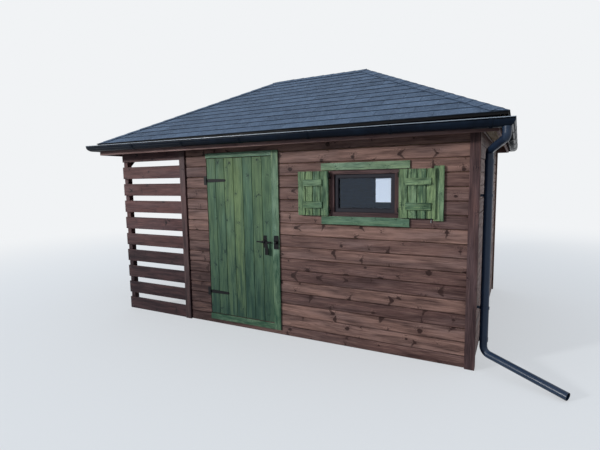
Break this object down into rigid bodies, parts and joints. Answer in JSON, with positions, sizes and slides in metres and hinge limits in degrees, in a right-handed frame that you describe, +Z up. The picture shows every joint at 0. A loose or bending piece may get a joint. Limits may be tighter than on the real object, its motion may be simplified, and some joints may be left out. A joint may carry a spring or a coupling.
{
  "type": "log store shed",
  "caption": "Timber garden store: boarded room with green door and shuttered window, open-ended slatted log bay, hipped shingle roof with black gutters.",
  "frame": {"origin": "middle of the building's footprint, on the ground, on the floor's underside", "axes": "+X along the front to the right, +Y from the front to the back, +Z up"},
  "size_m": [4.914, 3.3566, 2.8645],
  "materials": {
    "stained_pine": "red-brown stain on pine boards",
    "green_pine": "green stain on pine boards",
    "bare_pine": "unstained sawn pine",
    "shingle": "slate-coloured mineral granules on bitumen felt",
    "black_plastic": "semi-gloss rainwater plastic",
    "black_metal": "black coated sheet steel",
    "black_iron": "black powder-coated steel",
    "dark_frame": "dark foil on a plastic window profile",
    "glass": "clear sealed pane"
  },
  "bodies": {
    "building": {"floor_deck": "bare_pine", "front_wall_left": "stained_pine", "front_wall_over_door": "stained_pine", "front_wall_right": "stained_pine", "door_sill": "stained_pine", "back_wall": "stained_pine", "right_wall": "stained_pine", "partition_wall": "stained_pine", "front_slats": "stained_pine", "back_slats": "stained_pine", "bay_posts": "stained_pine", "bay_beams": "stained_pine", "knee_braces": "stained_pine", "corner_boards": "stained_pine", "fascia": "stained_pine", "soffit": "bare_pine", "drip_edges": "black_metal", "rafters": "bare_pine", "roof_deck": "bare_pine", "shingles_front": "shingle", "shingles_back": "shingle", "shingles_right": "shingle", "shingles_left": "shingle", "ridge_cap": "shingle", "hip_caps": "shingle", "gutter_front": "black_plastic", "gutter_back": "black_plastic", "gutter_right": "black_plastic", "gutter_left": "black_plastic", "gutter_brackets": "black_plastic", "downpipe_offset": "black_plastic", "downpipe": "black_plastic", "downpipe_foot": "black_plastic", "pipe_clips": "black_plastic", "door_casing": "green_pine", "door_stops": "bare_pine", "hinge_plates": "black_iron", "bolt_keeper": "black_iron", "window_lining": "stained_pine", "window_frame": "dark_frame", "window_glass": "glass", "window_trim": "green_pine", "shutter_pintles": "black_iron"},
    "door": {"door_leaf": "green_pine", "door_straps": "black_iron", "bolt_guides": "black_iron"},
    "bolt": {"door_bolt": "black_iron"},
    "left_shutter_leaf": {"left_shutter": "green_pine", "left_shutter_hinges": "black_iron"},
    "right_shutter_leaf": {"right_shutter": "green_pine", "right_shutter_hinges": "black_iron"}
  },
  "joints": [
    {"name": "door_hinge", "type": "hinge", "parent": "building", "child": "door", "pos_m": [-0.7005, -1.408, 0.955], "axis": [0, 0, -1], "range_deg": [0, 165]},
    {"name": "bolt_slide", "type": "slide", "parent": "door", "child": "bolt", "axis": [1, 0, 0], "range_m": [0, 0.06]},
    {"name": "left_shutter_hinge", "type": "hinge", "parent": "building", "child": "left_shutter_leaf", "pos_m": [0.742, -1.428, 1.431], "axis": [0, 0, 1], "range_deg": [0, 180]},
    {"name": "right_shutter_hinge", "type": "hinge", "parent": "building", "child": "right_shutter_leaf", "pos_m": [1.372, -1.433, 1.431], "axis": [0, 0, -1], "range_deg": [0, 180]}
  ]
}
